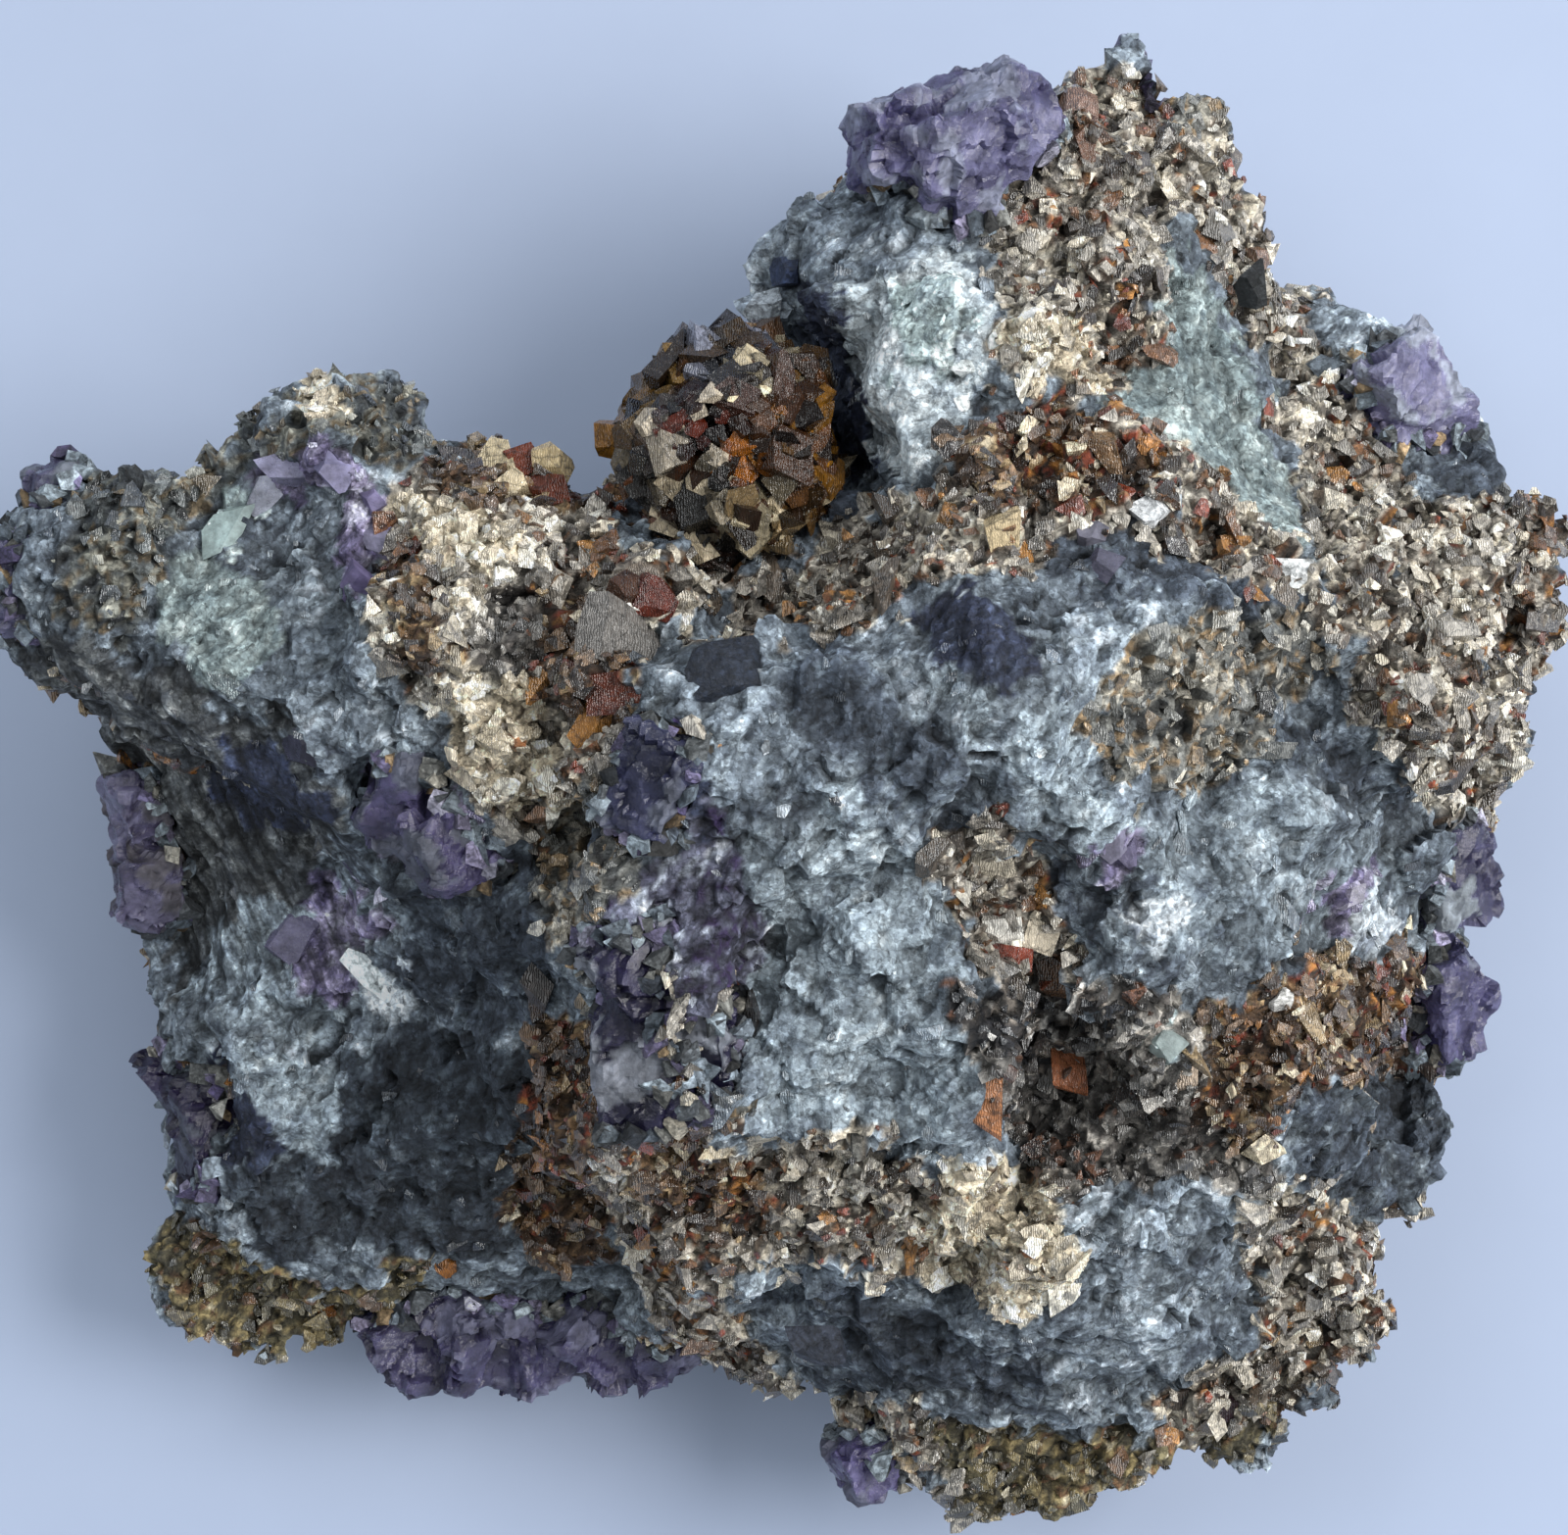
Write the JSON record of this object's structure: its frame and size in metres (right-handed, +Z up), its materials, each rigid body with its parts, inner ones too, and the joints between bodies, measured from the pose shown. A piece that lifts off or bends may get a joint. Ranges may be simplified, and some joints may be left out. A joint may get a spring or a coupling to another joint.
{
  "type": "sphalerite with fluorite",
  "caption": "Broken lump of ore: brown faceted sphalerite and purple fluorite crystals grown in grey rock, with a deep notch in its back edge, resting on a flat break.",
  "frame": {"origin": "on the table, in the middle of the flat break that the lump rests on", "axes": "+X to the right along the long way, +Y away from the viewer towards the notch, +Z up"},
  "size_m": [0.1645, 0.1556, 0.0805],
  "materials": {
    "rock": "rough broken faces, slate grey with brown and pale patches",
    "sphalerite": "resinous, amber to red-brown, bright cleavage faces",
    "fluorite": "clear purple with broken cleavage faces"
  },
  "bodies": {
    "root": {"rock": "rock", "sphalerite_knob": "sphalerite", "fluorite_top": "fluorite", "fluorite_left_tip": "fluorite", "fluorite_left_flank": "fluorite", "fluorite_hollow": "fluorite", "fluorite_boss": "fluorite", "fluorite_ridge": "fluorite", "fluorite_front_ledge": "fluorite", "fluorite_right_upper": "fluorite", "fluorite_right_lower": "fluorite", "fluorite_shoulder": "fluorite", "fluorite_lower_left": "fluorite", "fluorite_front": "fluorite"}
  },
  "joints": []
}
